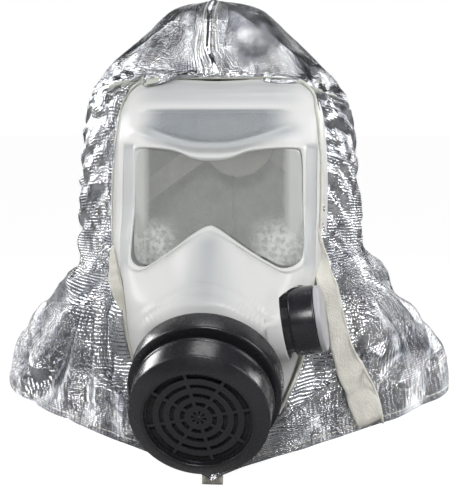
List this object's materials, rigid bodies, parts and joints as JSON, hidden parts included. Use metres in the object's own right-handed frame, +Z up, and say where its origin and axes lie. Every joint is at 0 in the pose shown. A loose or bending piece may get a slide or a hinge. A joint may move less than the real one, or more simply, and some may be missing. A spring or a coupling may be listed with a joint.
{
  "type": "smoke hood",
  "caption": "Escape smoke hood: aluminised fabric hood and cape round a clear-visored silicone face mask with a screw-in filter canister and an exhalation valve.",
  "frame": {"origin": "bottom centre of the bounding box, at the lowest point of the cape", "axes": "+Z up through the crown, the wearer faces -Y, +X towards the wearer's left"},
  "size_m": [0.3484, 0.2834, 0.3741],
  "materials": {
    "foil": "aluminised woven cloth, bright and crinkled",
    "cream": "plain off-white textile",
    "elastic": "off-white elastic cord",
    "silicone": "milky translucent silicone, satin",
    "lens": "clear moulded visor",
    "housing": "black moulded plastic, semi-gloss",
    "buckle": "black moulded plastic",
    "cap": "light grey plastic",
    "flap": "dark rubber",
    "filter_paper": "glass-fibre filter paper",
    "charcoal": "black sorbent and mesh",
    "plate": "perforated sheet"
  },
  "bodies": {
    "hood": {"hood_left_panel": "foil", "hood_right_panel": "foil", "crown_seam": "foil", "back_seam": "foil", "face_opening_binding": "cream", "lining_strip": "cream", "hem_tab": "cream", "strap_upper_left": "cream", "strap_upper_right": "cream", "strap_lower_left": "cream", "strap_lower_right": "cream", "head_pad": "cream", "neck_elastic": "elastic", "facepiece": "silicone", "inner_half_mask": "silicone", "visor_lens": "lens", "port_ring": "housing", "port_nut": "housing", "inhalation_seat": "housing", "exhalation_seat": "housing", "anchor_upper_left": "buckle", "anchor_upper_right": "buckle", "anchor_lower_left": "buckle", "anchor_lower_right": "buckle"},
    "gasket": {"port_gasket": "flap"},
    "canister": {"canister_body": "housing", "canister_cover": "housing", "rear_plate": "plate", "sorbent_bed": "charcoal", "front_plate": "plate", "particulate_filter": "filter_paper", "front_screen": "charcoal"},
    "inhalation_flap": {"inhalation_disc": "flap"},
    "exhalation_flap": {"exhalation_disc": "flap"},
    "exhalation_hood": {"exhalation_cover": "housing", "exhalation_cap": "cap"},
    "check_flap_left": {"check_disc_left": "flap"},
    "check_flap_right": {"check_disc_right": "flap"},
    "buckle_upper_left": {"buckle_upper_left": "buckle"},
    "buckle_upper_right": {"buckle_upper_right": "buckle"},
    "buckle_lower_left": {"buckle_lower_left": "buckle"},
    "buckle_lower_right": {"buckle_lower_right": "buckle"}
  },
  "joints": [
    {"name": "canister_travel", "type": "slide", "parent": "hood", "child": "gasket", "axis": [0, -0.8988, -0.4384], "range_m": [0, 0.01452]},
    {"name": "canister_turn", "type": "hinge", "parent": "gasket", "child": "canister", "pos_m": [0, -0.08195, 0.0814], "axis": [0, -0.8988, -0.4384], "range_deg": [0, 1440]},
    {"name": "inhalation_lift", "type": "slide", "parent": "hood", "child": "inhalation_flap", "axis": [0, 0.8988, 0.4384], "range_m": [0, 0.0025]},
    {"name": "exhalation_lift", "type": "slide", "parent": "hood", "child": "exhalation_flap", "axis": [0.9877, 0, 0.1564], "range_m": [0, 0.0025]},
    {"name": "exhalation_cover_twist", "type": "hinge", "parent": "hood", "child": "exhalation_hood", "pos_m": [0.058, -0.05995, 0.126], "axis": [0.9877, 0, 0.1564], "range_deg": [0, 40]},
    {"name": "check_lift_left", "type": "slide", "parent": "hood", "child": "check_flap_left", "axis": [-1, 0, 0], "range_m": [0, 0.0015]},
    {"name": "check_lift_right", "type": "slide", "parent": "hood", "child": "check_flap_right", "axis": [1, 0, 0], "range_m": [0, 0.0015]},
    {"name": "buckle_pivot_upper_left", "type": "hinge", "parent": "hood", "child": "buckle_upper_left", "pos_m": [0.08694, 0.02623, 0.2595], "axis": [0.0846, 0.2645, -0.9607], "range_deg": [-30, 0]},
    {"name": "buckle_pivot_upper_right", "type": "hinge", "parent": "hood", "child": "buckle_upper_right", "pos_m": [-0.08694, 0.02623, 0.2595], "axis": [0.0846, -0.2645, 0.9607], "range_deg": [-30, 0]},
    {"name": "buckle_pivot_lower_left", "type": "hinge", "parent": "hood", "child": "buckle_lower_left", "pos_m": [0.08793, 0.0184, 0.18833], "axis": [0.1669, 0.4119, -0.8958], "range_deg": [-30, 0]},
    {"name": "buckle_pivot_lower_right", "type": "hinge", "parent": "hood", "child": "buckle_lower_right", "pos_m": [-0.08793, 0.0184, 0.18833], "axis": [0.1669, -0.4119, 0.8958], "range_deg": [-30, 0]}
  ],
  "couplings": [
    {"joint": "canister_travel", "follows": "canister_turn", "m_per_rad": 0.00057757}
  ]
}
